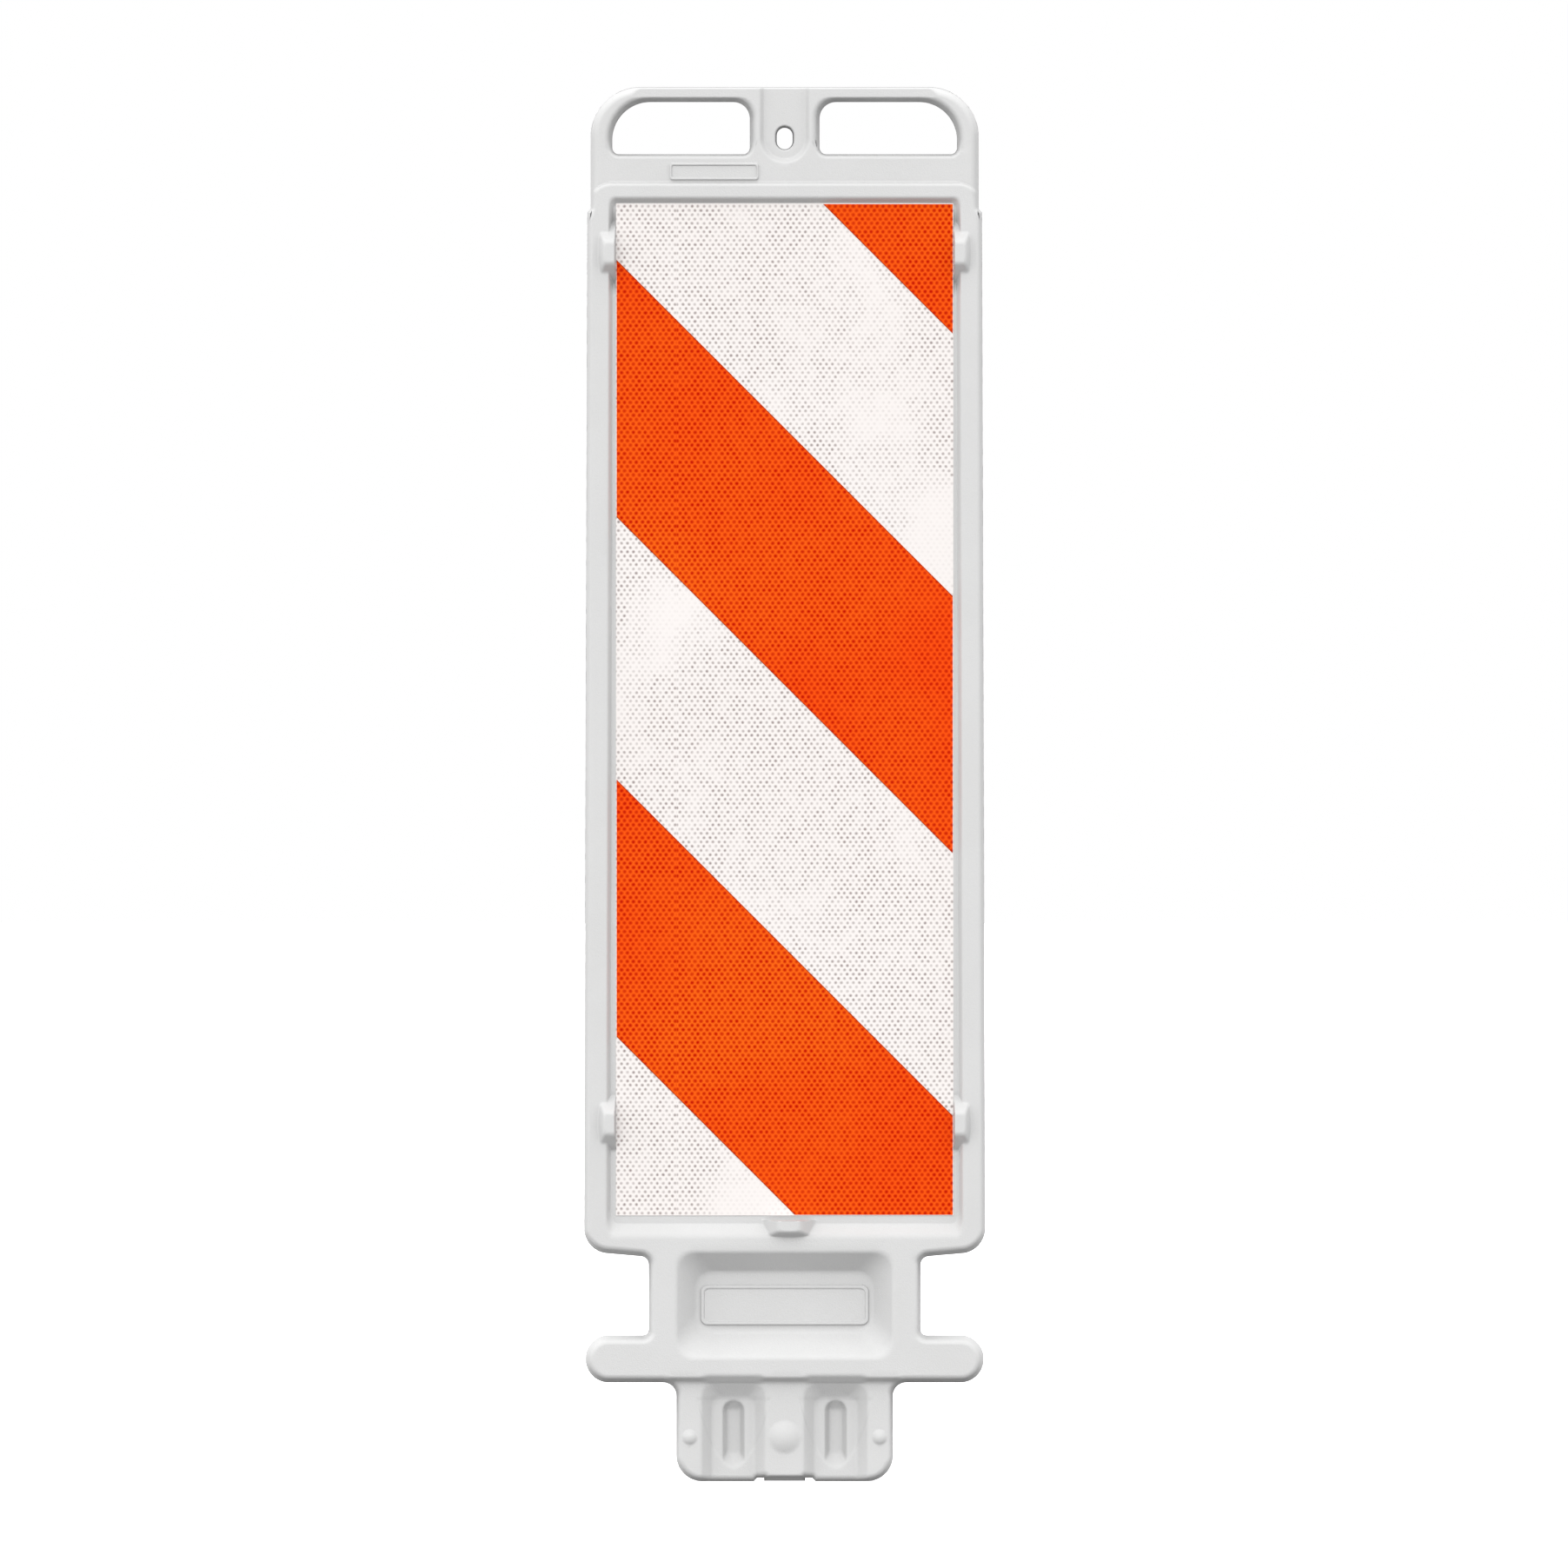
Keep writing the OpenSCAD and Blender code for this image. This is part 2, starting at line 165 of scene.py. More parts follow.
# Hollows in the recess above and below the side lugs: the depth of the upper ones and the lower
# ones' share of it, then the half length of each stretch and the distance over which it ends
LUG_HOLLOW_D = 2.5
LOW_HOLLOW = 0.4
HIGH_STRETCH = (16, 12)
LOW_STRETCH = (12, 8)

# Neck pocket
NECK_POCKET_HALF = 65.3
NECK_POCKET_LOW = CROSSBAR_TOP - 13
NECK_POCKET_HIGH = NECK_TOP + 3.5
NECK_POCKET_D = 12
NECK_RUN = 12.3
NECK_RUN_LOW = 14.8

# Blank plates in the neck pocket and on the head: left, right, low and high. The next value is the
# width of a plate's border with the radius of its corners.
NECK_PLATE = (-50.9, 50.9, 94.1, 118.7)
NECK_PLATE_BORDER = (2.2, 4.5)
HEAD_PLATE = (-69.5, -15.5, FRAME_TOP + 1.4, FRAME_TOP + 12)
HEAD_PLATE_BORDER = (1.3, 2.0)
PLATE_H = 1.0
PLATE_SUNK = 0.75

# Tongue pockets and the grooves in them
POCKET_X = 30.8
POCKET_HALF = 19.5
POCKET_D = 6
POCKET_RUN = 7
POCKET_RUN_HIGH = 8.5
GROOVE_R = 7
GROOVE_D = 4.6
GROOVE_TOP = 49.5
GROOVE_LOW = 8.7
GROOVE_RAMP = 7.7
GROOVE_RAMP_HIGH = 6.5
GROOVE_SMOOTH = 1.2

# Snap domes on the tongue: the height of their centres, and each one's place, radius and height
DOME_Z = 26.8
MIDDLE_DOME = (0, 9.5, 2.3)
SIDE_DOME = (TONGUE_HALF - 8.1, 4.4, 1.8)
DOME_SMOOTH = 0.7

# Cells that sample the moulded faces: the largest one, how often it may be halved, the error that
# halves it, the places measured across it, and how near it comes to the outlines
CELL_MAX = 4
CELL_LEVELS = 3
CELL_ERROR = 0.03
CELL_SAMPLES = 5
CELL_MARGIN = 1.5
CORNERS = ((0, 0), (1, 0), (0, 1), (1, 1))

# Edges of the outlines: the step along an arc, the longest and shortest edge, and the error that
# splits it, measured a little inside the outline
ARC_STEP = 1.3
EDGE_MAX = 5
EDGE_MIN = 0.9
EDGE_ERROR = 0.02
EDGE_SAMPLES = 5
EDGE_INSIDE = (0.985, 0.94)
END_MARGIN = 3

# Where the walls are measured: how far inside the outline the face's level is read, how much nearer
# than its own depth a ring may come to an outline, and the step for slopes
LEVEL_INSIDE = 4
RING_SLACK = 0.03
SLOPE_STEP = 0.02

# Points measured at a time, and the distance at which points count as one
CHUNK = 256
SAME_POINT = 1e-6


# ---------------------------------------------------------------- relief of the moulded faces

def smooth_min(a, b, k):
    """The lower of two heights, with the crease between them rounded over a difference of k."""
    blend = np.maximum(k - np.abs(a - b), 0) / k
    return np.minimum(a, b) - blend * blend * k / 4


def smooth_max(a, b, k):
    """The higher of two heights, rounded in the same way."""
    return -smooth_min(-a, -b, k)


def bank(d, height, crest_r, foot_r, draft):
    """Height of a drafted bank at the distance d inside its foot, rounded at its foot and its crest."""
    s = math.hypot(1, draft)
    crest = (height - crest_r) * draft + crest_r * s
    foot = foot_r * draft - foot_r * s
    on_crest = height - crest_r + np.sqrt(crest_r ** 2 - np.clip(crest - d, 0, crest_r) ** 2)
    on_foot = foot_r - np.sqrt(foot_r ** 2 - np.clip(d - foot, 0, foot_r) ** 2)
    y = np.where(d > crest - crest_r / s, on_crest, d / draft)
    return np.where(d < foot + foot_r / s, on_foot, y)


def gate(x, half, soft):
    """1 where x is inside -half..half, falling to 0 over the distance soft outside it."""
    t = np.clip((half + soft - np.abs(x)) / soft, 0, 1)
    return t * t * (3 - 2 * t)


def between(z, low, high, soft):
    """1 where z is inside low..high, falling to 0 over the distance soft outside them."""
    return gate(z - (low + high) / 2, (high - low) / 2, soft)


def inside_rounded(x, z, left, right, low, high, r):
    """Distance inside a rectangle with rounded corners."""
    qx = np.abs(x - (left + right) / 2) - (right - left) / 2 + r
    qz = np.abs(z - (low + high) / 2) - (high - low) / 2 + r
    return r - np.hypot(np.maximum(qx, 0), np.maximum(qz, 0)) - np.minimum(np.maximum(qx, qz), 0)


def outer_level(x, z):
    """Half thickness of the moulding before its pockets."""
    head, rim, tongue, tab = HEAD_T / 2, FRAME_T / 2, TONGUE_T / 2, TAB_T / 2
    side = np.maximum(np.abs(x) - (FRAME_HIGH_HALF - FRAME_R), 0)
    above = z - (FRAME_TOP - FRAME_R)
    in_frame = np.where(above > 0, FRAME_R - np.hypot(side, np.maximum(above, 0)), FRAME_R)
    level = head + bank(in_frame, rim - head, *FRAME_BANK)
    over_pocket = gate(np.abs(x) - POCKET_X, POCKET_HALF - 5, 6)
    steep = bank(z - CROSSBAR_BOTTOM - 0.5, rim - tongue, *STEEP_BANK)
    sloping = bank(z - CROSSBAR_BOTTOM + 0.3, rim - tongue, *SLOPING_BANK)
    step = steep + (sloping - steep) * over_pocket
    level = level - (rim - tongue - step) * gate(x, TONGUE_HALF + 1, 6)
    tab_step = bank(z - 2, tongue - tab, *TAB_BANK)
    return level - (tongue - tab - tab_step) * gate(x, TAB_HALF, 0.8)


def recess_depth(x, z):
    """Depth of the recess that holds the sheeting, with the hollows above and below the side lugs."""
    taper = (z - FLOOR_BOTTOM) / (FLOOR_TOP - FLOOR_BOTTOM) - 0.5
    half = FLOOR_HALF + SLOPE_SIDE - RECESS_TAPER * taper
    side = (half - np.abs(x)) / SLOPE_SIDE
    low = (z - FLOOR_BOTTOM + SLOPE_BOTTOM) / SLOPE_BOTTOM
    high = (FLOOR_TOP + SLOPE_TOP - z) / SLOPE_TOP
    t = smooth_min(side, smooth_min(low, high, 0.6), 1.8)
    high_lugs, low_lugs = gate(z - LUG_HIGH_Z, *HIGH_STRETCH), gate(z - LUG_LOW_Z, *LOW_STRETCH)
    beside_lugs = high_lugs + LOW_HOLLOW * low_lugs
    beside_sheet = gate(np.abs(x) - SHEET_HIGH[0] - 1.6, 0.8, 2.2) * gate(z, FLOOR_TOP - 1, 2)
    hollow = LUG_HOLLOW_D * beside_sheet * beside_lugs
    return bank(t * RECESS_D, RECESS_D, *RECESS_BANK) + hollow


def neck_pocket_depth(x, z):
    """Depth of the pocket between the frame and the crossbar."""
    side = (NECK_POCKET_HALF - np.abs(x)) / NECK_RUN
    low = (z - NECK_POCKET_LOW) / NECK_RUN_LOW
    high = (NECK_POCKET_HIGH - z) / NECK_RUN
    t = smooth_min(side, smooth_min(low, high, 0.2), 1.0)
    return bank(t * NECK_POCKET_D, NECK_POCKET_D, *NECK_BANK)


def tongue_pocket_depth(x, z):
    """Depth of the tongue's stiffening pockets and the grooves in them."""
    off = np.abs(x) - POCKET_X
    side = (POCKET_HALF - np.abs(off)) / POCKET_RUN
    high = (CROSSBAR_BOTTOM - 0.2 - z) / POCKET_RUN_HIGH
    pocket = bank(smooth_min(side, high, 1.0) * POCKET_D, POCKET_D, *POCKET_BANK)
    arch = GROOVE_R - np.hypot(off, np.maximum(z - GROOVE_TOP + GROOVE_R, 0))
    low_ramp = (z - GROOVE_LOW - off ** 2 / 12) * GROOVE_D / GROOVE_RAMP
    high_ramp = (GROOVE_TOP + 0.5 - z) * GROOVE_D / GROOVE_RAMP_HIGH
    ramps = smooth_min(low_ramp, high_ramp, 1.0)
    groove = smooth_min(bank(arch, GROOVE_D, *GROOVE_BANK), ramps, GROOVE_SMOOTH)
    groove = smooth_max(groove, np.zeros_like(groove), GROOVE_SMOOTH)
    return pocket + groove


def light_pocket_depth(x, z):
    """Depth of the flat for a warning light, which runs out at the head's top."""
    d = LIGHT_POCKET_R - np.hypot(x, np.minimum(z - LIGHT_SLOT_Z, 0))
    return bank(d, LIGHT_POCKET_D, *LIGHT_BANK)


def dome(x, z, centre_x, radius, height):
    """Height of one snap dome, a spherical cap that runs softly into the tongue."""
    ball = (radius ** 2 + height ** 2) / (2 * height)
    r = np.hypot(x - centre_x, z - DOME_Z)
    cap = np.sqrt(np.maximum(ball ** 2 - r ** 2, 0)) - ball + height
    return smooth_max(cap, np.zeros_like(cap), DOME_SMOOTH)


def domes(x, z):
    """Height of the three snap domes."""
    return dome(x, z, *MIDDLE_DOME) + dome(np.abs(x), z, *SIDE_DOME)


def lug_level(along, out, grow):
    """Half thickness of one lug: along its length, and outward from the sheeting. A lug's outer end
    is a steep face that bows out in the middle."""
    tip = FRAME_T / 2 + LUG_H
    ends = np.abs(along) - LUG_CREST_HALF - grow
    bow = LUG_BOW * (1 - (along / (LUG_CREST_HALF + LUG_H)) ** 2)
    outer = (out - LUG_OUTER - grow - bow + LUG_OUTER_RUN) * LUG_OUTER_STEEP
    inner = (LUG_INNER - grow + LUG_INNER_RUN - out) * LUG_INNER_STEEP
    fall = smooth_max(ends, smooth_max(outer, inner, 2), 2.6)
    return tip - smooth_max(fall, np.zeros_like(fall), LUG_CREST_R)


def lugs(x, z, grow):
    """Half thickness of the highest of the five lugs."""
    sides = [lug_level(z - centre, np.abs(x), grow) for centre in (LUG_HIGH_Z, LUG_LOW_Z)]
    bottom = lug_level(x - LUG_BOTTOM_X, FLOOR_BOTTOM + FLOOR_HALF - z, grow)
    return np.maximum(np.maximum(*sides), bottom)


def plate_relief(x, z, plate, border, radius):
    """Height of the raised border of a blank plate = (left, right, low, high)."""
    left, right, low, high = plate
    d = inside_rounded(x, z, left, right, low, high, radius)
    left, right, low, high = left + border, right - border, low + border, high - border
    inner = inside_rounded(x, z, left, right, low, high, radius * 0.7)
    return bank(d, PLATE_H, *PLATE_BANK) - bank(inner, PLATE_SUNK, *PLATE_INNER_BANK)


def face_level(x, z):
    """Height over the parting plane of what the two faces have in common."""
    level = outer_level(x, z) - recess_depth(x, z) - neck_pocket_depth(x, z)
    level = level - tongue_pocket_depth(x, z) - light_pocket_depth(x, z)
    return level + domes(x, z)


def front_level(x, z):
    """Height of the front face over the parting plane, with its plates and lugs."""
    neck_plate = plate_relief(x, z, NECK_PLATE, *NECK_PLATE_BORDER)
    head_plate = plate_relief(x, z, HEAD_PLATE, *HEAD_PLATE_BORDER)
    plates = neck_plate + head_plate
    level = face_level(x, z) + plates
    return smooth_max(level, lugs(x, z, 0), 1.2)


def rear_level(x, z):
    """Height of the rear face over the parting plane, with the sockets for another panel's lugs."""
    socket = FRAME_T - lugs(x, z, LUG_CLEARANCE)
    return smooth_min(face_level(x, z), socket, 0.8)


def edge_form(x, z):
    """Radius and draft of the edge of a face: crisp along the head's top, around the warning light's
    slot, and in part along the bottoms of the hand holes and the sides of the frame, neck and tongue."""
    slot = gate(np.hypot(x, z - LIGHT_SLOT_Z), *CRISP_SLOT)
    top = gate(z - HEAD_TOP, *CRISP_TOP) * gate(x, HEAD_HALF - HEAD_R, 6)
    sill = gate(z - HAND_HOLE_LOW, *CRISP_SILL) * gate(np.abs(x) - HAND_HOLE_INNER - 40, 45, 2)
    frame_sides = between(z, FRAME_BOTTOM + FRAME_R, FRAME_TOP - FRAME_R, 12)
    neck_sides = between(z, CROSSBAR_TOP + 5, NECK_TOP - 5, 5)
    tongue_sides = between(z, TONGUE_R, CROSSBAR_BOTTOM - 8, 5)
    sides = frame_sides + neck_sides + tongue_sides
    crisp = np.maximum(np.maximum(slot, top), np.maximum(SILL_CRISP * sill, SIDE_CRISP * sides))
    return EDGE_R - (EDGE_R - CRISP_EDGE_R) * crisp, DRAFT - (DRAFT - CRISP_DRAFT) * crisp


def edge_crest(level, radius, draft):
    """Distance inside the outline at which the rounded edge of a face at level ends."""
    return PARTING_W + (level - radius - PARTING_H) * draft + radius * np.hypot(1, draft)


def edge_height(d, level, radius, draft):
    """Height over the parting line at the distance d inside the outline, where the face is at level."""
    crest = edge_crest(level, radius, draft)
    wall = PARTING_H + (d - PARTING_W) / draft
    on_crest = level - radius + np.sqrt(radius ** 2 - np.clip(crest - d, 0, radius) ** 2)
    height = np.where(d > crest - radius / np.hypot(1, draft), on_crest, wall)
    return np.where(d < PARTING_W, d * PARTING_H / PARTING_W, height)


def edge_rings(level, radius, draft):
    """Distances inside the outline at which the edge of a face at level is sampled, one row each."""
    angles = np.linspace(np.arctan(draft), math.pi / 2, ARC_RINGS, axis=1)
    arc = edge_crest(level, radius, draft)[:, None] - radius[:, None] * np.cos(angles)
    first = np.full((len(level), 1), PARTING_W)
    return np.concatenate([first, first + RING_GAP, arc], 1)


# ---------------------------------------------------------------- outlines at the parting line

def corner_arc(p, corner, q):
    """Points of the arc that rounds corner = (x, z, radius) between its neighbours p and q."""
    at = np.array(corner[:2], float)
    u = np.array(p[:2], float) - at
    v = np.array(q[:2], float) - at
    u /= np.linalg.norm(u)
    v /= np.linalg.norm(v)
    radius = corner[2]
    half = math.acos(float(np.clip(u @ v, -1, 1))) / 2
    start = at + u * radius / math.tan(half)
    end = at + v * radius / math.tan(half)
    centre = at + (u + v) / np.linalg.norm(u + v) * radius / math.sin(half)
    a, b = start - centre, end - centre
    turn = math.atan2(a[0] * b[1] - a[1] * b[0], float(a @ b))
    steps = max(4, math.ceil(abs(turn) * radius / ARC_STEP))
    angles = math.atan2(a[1], a[0]) + turn * np.linspace(0, 1, steps + 1)
    return [centre + radius * np.array([math.cos(t), math.sin(t)]) for t in angles]


def rounded(corners):
    """Points of a closed outline from its corners = (x, z, radius)."""
    points = []
    for i, corner in enumerate(corners):
        if corner[2] > 0:
            points += corner_arc(corners[i - 1], corner, corners[(i + 1) % len(corners)])
        else:
            points.append(np.array(corner[:2], float))
    return points


def both_sides(right):
    """A closed outline from its right-hand corners, listed top to bottom."""
    return right + [(-x, z, r) for x, z, r in reversed(right)]


def split_edges(points):
    """Splits the long edges of a closed outline, and those beside which the faces change level."""
    def bend(a, b):
        """How far the faces beside the edge from a to b are from straight."""
        ts = np.linspace(0, 1, EDGE_SAMPLES)[:, None]
        on = a + (b - a) * ts
        worst = 0
        for level in (front_level, rear_level):
            for shrink in EDGE_INSIDE:
                y = level(on[:, 0] * shrink, np.clip(on[:, 1], END_MARGIN, HEAD_TOP - END_MARGIN))
                worst = max(worst, float(np.abs(y - (y[0] + (y[-1] - y[0]) * ts[:, 0])).max()))
        return worst

    out = []
    for a, b in zip(points, points[1:] + points[:1]):
        stack = [(a, b)]
        while stack:
            p, q = stack.pop()
            length = float(np.linalg.norm(q - p))
            if length > EDGE_MAX or (length > EDGE_MIN and bend(p, q) > EDGE_ERROR):
                middle = (p + q) / 2
                stack += [(middle, q), (p, middle)]
            else:
                out.append(p)
    return np.array(out)


def outlines():
    """The moulding's outline, and then its holes, at the parting line."""
    outer = rounded(both_sides([
        (HEAD_HALF, HEAD_TOP, HEAD_R), (HEAD_HALF, SHOULDER_Z, SHOULDER_R),
        (FRAME_HIGH_HALF, SHOULDER_Z - SHOULDER_RUN, SHOULDER_R),
        (FRAME_LOW_HALF, FRAME_BOTTOM, FRAME_R),
        (NECK_HALF, NECK_TOP, NECK_TOP_R), (NECK_HALF, CROSSBAR_TOP, NECK_LOW_R),
        (CROSSBAR_HALF, CROSSBAR_TOP, CROSSBAR_R), (CROSSBAR_HALF, CROSSBAR_BOTTOM, CROSSBAR_R),
        (TONGUE_HALF, CROSSBAR_BOTTOM, TONGUE_TOP_R), (TONGUE_HALF, 0, TONGUE_R),
        (NOTCH_HALF, 0, NOTCH_R), (NOTCH_HALF - TAB_TOP, TAB_TOP, NOTCH_R),
        (TAB_HALF, TAB_TOP, TAB_R), (TAB_HALF, TAB_BOTTOM, TAB_R),
    ]))
    hand_hole = rounded([
        (HAND_HOLE_OUTER, HAND_HOLE_HIGH, HAND_HOLE_OUTER_R),
        (HAND_HOLE_OUTER, HAND_HOLE_LOW, HAND_HOLE_LOW_R),
        (HAND_HOLE_INNER, HAND_HOLE_LOW, HAND_HOLE_LOW_R),
        (HAND_HOLE_INNER, HAND_HOLE_HIGH, HAND_HOLE_INNER_R),
    ])
    other_hand_hole = [np.array([-p[0], p[1]]) for p in reversed(hand_hole)]
    half, end_r, reach = LIGHT_SLOT_R, LIGHT_SLOT_R - 0.05, LIGHT_SLOT_STRAIGHT + LIGHT_SLOT_R
    high, low = LIGHT_SLOT_Z + reach, LIGHT_SLOT_Z - reach
    slot = rounded([(half, high, end_r), (half, low, end_r), (-half, low, end_r), (-half, high, end_r)])
    return [split_edges(points) for points in (outer, hand_hole, other_hand_hole, slot)]


def signed_area(loop):
    """Area inside a closed outline, positive when it runs anticlockwise."""
    x, z = loop[:, 0], loop[:, 1]
    return 0.5 * float(np.sum(x * np.roll(z, -1) - np.roll(x, -1) * z))


def segments(loops):
    """Start and end coordinates of all the edges of the outlines, as rows."""
    a = np.concatenate(loops)
    b = np.concatenate([np.roll(loop, -1, axis=0) for loop in loops])
    return a[:, 0], a[:, 1], b[:, 0], b[:, 1]


def nearest_on(points, loops):
    """Distance from each point to the outlines, and the direction away from its nearest place."""
    ax, az, bx, bz = segments(loops)
    ux, uz = bx - ax, bz - az
    length2 = ux * ux + uz * uz
    found = []
    for start in range(0, len(points), CHUNK):
        px = points[start:start + CHUNK, :1] - ax
        pz = points[start:start + CHUNK, 1:] - az
        t = np.clip((px * ux + pz * uz) / length2, 0, 1)
        px -= t * ux
        pz -= t * uz
        best = (px * px + pz * pz).argmin(1)
        row = np.arange(len(best))
        found.append(np.stack([px[row, best], pz[row, best]], 1))
    away = np.concatenate(found)
    distance = np.linalg.norm(away, axis=1)
    return distance, away / np.maximum(distance, 1e-9)[:, None]


def inside(points, loops):
    """True for points inside the outline and outside its holes."""
    ax, az, bx, bz = segments(loops)
    run = (bx - ax) / np.where(bz == az, 1, bz - az)
    found = []
    for start in range(0, len(points), CHUNK):
        x, z = points[start:start + CHUNK, :1], points[start:start + CHUNK, 1:]
        crossed = ((az > z) != (bz > z)) & (x < ax + (z - az) * run)
        found.append(crossed.sum(1) % 2 == 1)
    return np.concatenate(found)


# ---------------------------------------------------------------- mesh of the moulding

def cell_points(level):
    """Corners of square cells that are split until the relief is nearly flat across each."""
    xs = np.arange(-FRAME_LOW_HALF - CELL_MAX, FRAME_LOW_HALF + CELL_MAX, CELL_MAX)
    zs = np.arange(-CELL_MAX, HEAD_TOP + CELL_MAX, CELL_MAX)
    gx, gz = np.meshgrid(xs, zs)
    cells = np.stack([gx.ravel(), gz.ravel()], 1)
    size, found = CELL_MAX, []
    grid = np.linspace(0, 1, CELL_SAMPLES)
    u, v = np.meshgrid(grid, grid)
    for depth in range(CELL_LEVELS + 1):
        x = cells[:, 0, None, None] + u * size
        z = cells[:, 1, None, None] + v * size
        y = level(x, z)
        flat = ((1 - u) * (1 - v) * y[:, :1, :1] + u * (1 - v) * y[:, :1, -1:]
                + (1 - u) * v * y[:, -1:, :1] + u * v * y[:, -1:, -1:])
        rough = np.abs(y - flat).max((1, 2)) > CELL_ERROR
        done = cells if depth == CELL_LEVELS else cells[~rough]
        found += [done + np.array(step) * size for step in CORNERS]
        split = cells[rough]
        size /= 2
        cells = np.concatenate([split + np.array(step) * size for step in CORNERS])
    points = np.concatenate(found)
    return np.unique(np.round(points, 4), axis=0)


def rings_inside(loops, level):
    """Points on rings inside the outlines, where the walls and rounded edges are, and the edges that
    join them."""
    found, edges, count = [], [], 0
    for number, loop in enumerate(loops):
        after, before = np.roll(loop, -1, axis=0) - loop, loop - np.roll(loop, 1, axis=0)
        after /= np.linalg.norm(after, axis=1)[:, None]
        before /= np.linalg.norm(before, axis=1)[:, None]
        along = after + before
        along /= np.linalg.norm(along, axis=1)[:, None]
        inward = np.stack([-along[:, 1], along[:, 0]], 1) * (1 if signed_area(loop) > 0 else -1)
        if number:
            inward = -inward
        deep = loop + inward * LEVEL_INSIDE
        rings = edge_rings(level(deep[:, 0], deep[:, 1]), *edge_form(*loop.T))
        for depths in rings.T:
            ring = loop + inward * depths[:, None]
            ring = ring[nearest_on(ring, loops)[0] > depths - RING_SLACK]
            found.append(ring)
            n = len(ring)
            edges += [(count + i, count + (i + 1) % n) for i in range(n)]
            count += n
    return np.concatenate(found), edges


def facing_front(points, triangles):
    """The triangles with their corners in anticlockwise order."""
    a, b, c = (points[triangles[:, i]] for i in range(3))
    ab, ac = b - a, c - a
    turned = ab[:, 0] * ac[:, 1] - ab[:, 1] * ac[:, 0] < 0
    triangles[turned] = triangles[turned][:, ::-1]
    return triangles


def face_triangles(loops, level):
    """Points and triangles that cover one moulded face, with the outlines' points first."""
    rings, ring_edges = rings_inside(loops, level)
    cells = cell_points(level)
    cells = cells[(nearest_on(cells, loops)[0] > CELL_MARGIN) & inside(cells, loops)]
    points = np.concatenate([*loops, rings, cells])
    edges, start = [], 0
    for loop in loops:
        n = len(loop)
        edges += [(start + i, start + (i + 1) % n) for i in range(n)]
        start += n
    edges += [(start + i, start + j) for i, j in ring_edges]
    result = delaunay_2d_cdt([Vector(p) for p in points], edges, [], 0, SAME_POINT)
    points = np.array([(v.x, v.y) for v in result[0]])
    triangles = np.array(result[2])
    triangles = triangles[inside(points[triangles].mean(1), loops)]
    return points, facing_front(points, triangles)


def face_surface(points, loops, level):
    """Heights and normals of one moulded face at its points."""
    distance, away = nearest_on(points, loops)
    distance[:sum(len(loop) for loop in loops)] = 0
    x, z = points.T
    form = edge_form(x, z)
    height = edge_height(distance, level(x, z), *form)
    slopes = []
    for dx, dz in ((SLOPE_STEP, 0), (0, SLOPE_STEP)):
        toward = dx * away[:, 0] + dz * away[:, 1]
        high = edge_height(np.maximum(distance + toward, 0), level(x + dx, z + dz), *form)
        low = edge_height(np.maximum(distance - toward, 0), level(x - dx, z - dz), *form)
        slopes.append((high - low) / (2 * SLOPE_STEP))
    return height, np.stack([-slopes[0], np.full(len(x), -1.0), -slopes[1]], 1)


def smooth_object(name, vertices, faces, normals):
    """An object with its own smooth normals at its vertices."""
    mesh = bpy.data.meshes.new(name)
    mesh.from_pydata(vertices.tolist(), [], faces.tolist())
    mesh.validate()
    mesh.update()
    mesh.polygons.foreach_set("use_smooth", [True] * len(mesh.polygons))
    mesh.normals_split_custom_set_from_vertices(normals.tolist())
    obj = bpy.data.objects.new(name, mesh)
    bpy.context.collection.objects.link(obj)
    return obj


def moulding():
    """The whole moulding as one mesh: two faces that share the outlines' points."""
    loops = outlines()
    border = sum(len(loop) for loop in loops)
    points, triangles = face_triangles(loops, front_level)
    height, normals = face_surface(points, loops, front_level)
    vertices = np.stack([points[:, 0], -height, points[:, 1]], 1)
    normals[:border, 1] = 0

    rear_points, rear_triangles = face_triangles(loops, rear_level)
    rear_height, rear_normals = face_surface(rear_points, loops, rear_level)
    rear_vertices = np.stack([rear_points[:, 0], rear_height, rear_points[:, 1]], 1)[border:]
    rear_normals = (rear_normals * np.array([1, -1, 1]))[border:]
    joined = np.where(rear_triangles < border, rear_triangles, rear_triangles - border + len(vertices))

    vertices = np.concatenate([vertices, rear_vertices]) * MM
    faces = np.concatenate([triangles, joined[:, ::-1]])
    normals = np.concatenate([normals, rear_normals])
    normals /= np.maximum(np.linalg.norm(normals, axis=1), 1e-9)[:, None]
    return smooth_object("moulded_panel", vertices, faces, normals)


# ---------------------------------------------------------------- materials

def new_material(name):
    """A new material with its node tree and its shader."""
    material = bpy.data.materials.new(name)
    material.use_nodes = True
    tree = material.node_tree
    return material, tree, tree.nodes["Principled BSDF"]


def add(tree, kind, **values):
    """A new node, with its properties or its inputs set by name."""
    node = tree.nodes.new(kind)
    for name, value in values.items():
        if hasattr(node, name):
            setattr(node, name, value)
        else:
            node.inputs[name.replace("_", " ")].default_value = value
    return node


def math_node(tree, operation, a, b=None, c=None):
    """Output of a maths node whose inputs are numbers or other nodes' outputs."""
    node = tree.nodes.new("ShaderNodeMath")
    node.operation = operation
    for i, value in enumerate((a, b, c)):
        if value is None:
            continue
        if isinstance(value, (int, float)):
            node.inputs[i].default_value = value
        else:
            tree.links.new(value, node.inputs[i])
    return node.outputs[0]


def noise(tree, where, scale, detail=2.0, roughness=0.5):
    """Noise at the coordinates where, around 0.5."""
    node = add(tree, "ShaderNodeTexNoise", Scale=scale, Detail=detail, Roughness=roughness)
    tree.links.new(where, node.inputs["Vector"])
    return node.outputs["Fac"]


